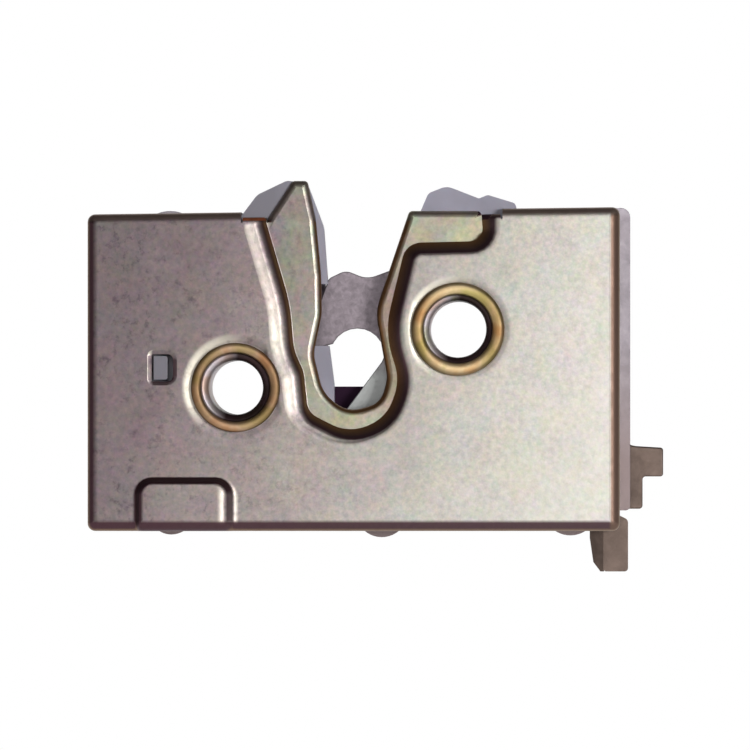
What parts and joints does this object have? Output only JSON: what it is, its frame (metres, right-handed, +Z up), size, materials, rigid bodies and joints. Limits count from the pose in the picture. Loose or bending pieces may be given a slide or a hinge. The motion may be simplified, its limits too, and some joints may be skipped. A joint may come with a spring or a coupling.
{
  "type": "car door latch",
  "caption": "Rotary car door latch: pressed front pan with a sunk striker slot, forked claw and pawl on hollow fixing bushes, release and locking levers behind.",
  "frame": {"origin": "axis of the claw bush's bore, in the rear plane of the back plate that seats on the door", "axes": "+X right across the face towards the lock lever's end, +Z up towards the striker slot's mouth, -Y out of the face"},
  "size_m": [0.0969, 0.0267, 0.066],
  "materials": {
    "plated_pan": "worn yellow zinc plate",
    "plated_back": "zinc plate, dull",
    "plated_lever": "zinc plate, brown",
    "claw_steel": "hardened, dull",
    "bush_steel": "yellow chromate, rolled",
    "bright_steel": "zinc plate",
    "spring_steel": "oiled",
    "grey_nylon": "moulded",
    "white_nylon": "moulded",
    "black_rubber": "matt"
  },
  "bodies": {
    "case": {"front_cover": "plated_pan", "back_plate": "plated_back", "guide_body": "grey_nylon", "claw_bush": "bush_steel", "pawl_bush": "bush_steel", "striker_buffer": "black_rubber", "stop_post": "bright_steel", "stop_sleeve": "black_rubber", "claw_washer": "bright_steel", "claw_spring": "spring_steel", "pawl_washer": "bright_steel", "pawl_spring": "spring_steel", "lever_stud": "bright_steel", "lock_stud": "bright_steel", "lever_spacer": "white_nylon", "lever_clip": "spring_steel", "lever_spring": "spring_steel", "lock_clip": "spring_steel", "toggle_spring": "spring_steel"},
    "claw": {"claw": "claw_steel"},
    "pawl": {"pawl": "claw_steel", "pawl_pin": "bright_steel"},
    "release_lever": {"release_lever": "plated_lever"},
    "inner_lever": {"inner_lever": "plated_lever", "inner_rod_clip": "white_nylon"},
    "lock_lever": {"lock_lever": "plated_lever"}
  },
  "joints": [
    {"name": "claw_turn", "type": "hinge", "parent": "case", "child": "claw", "pos_m": [0, -0.008, 0], "axis": [0, 1, 0], "range_deg": [0, 66], "deforming": ["claw_spring"]},
    {"name": "pawl_turn", "type": "hinge", "parent": "case", "child": "pawl", "pos_m": [-0.0373, -0.008, -0.0098], "axis": [0, 1, 0], "range_deg": [0, 18], "deforming": ["pawl_spring"]},
    {"name": "release_turn", "type": "hinge", "parent": "case", "child": "release_lever", "pos_m": [-0.005, 0.0015, -0.0254], "axis": [0, -1, 0], "range_deg": [0, 15], "deforming": ["lever_spring"]},
    {"name": "inner_turn", "type": "hinge", "parent": "case", "child": "inner_lever", "pos_m": [-0.005, 0.005, -0.0254], "axis": [0, -1, 0], "range_deg": [0, 15]},
    {"name": "lock_turn", "type": "hinge", "parent": "case", "child": "lock_lever", "pos_m": [0.018, 0.005, 0.003], "axis": [0, 1, 0], "range_deg": [0, 14], "deforming": ["toggle_spring"]}
  ],
  "couplings": [
    {"joint": "pawl_turn", "follows": "claw_turn", "ratio": 0.2727},
    {"joint": "release_turn", "follows": "claw_turn", "ratio": 0.2273},
    {"joint": "inner_turn", "follows": "claw_turn", "ratio": 0.2273}
  ]
}
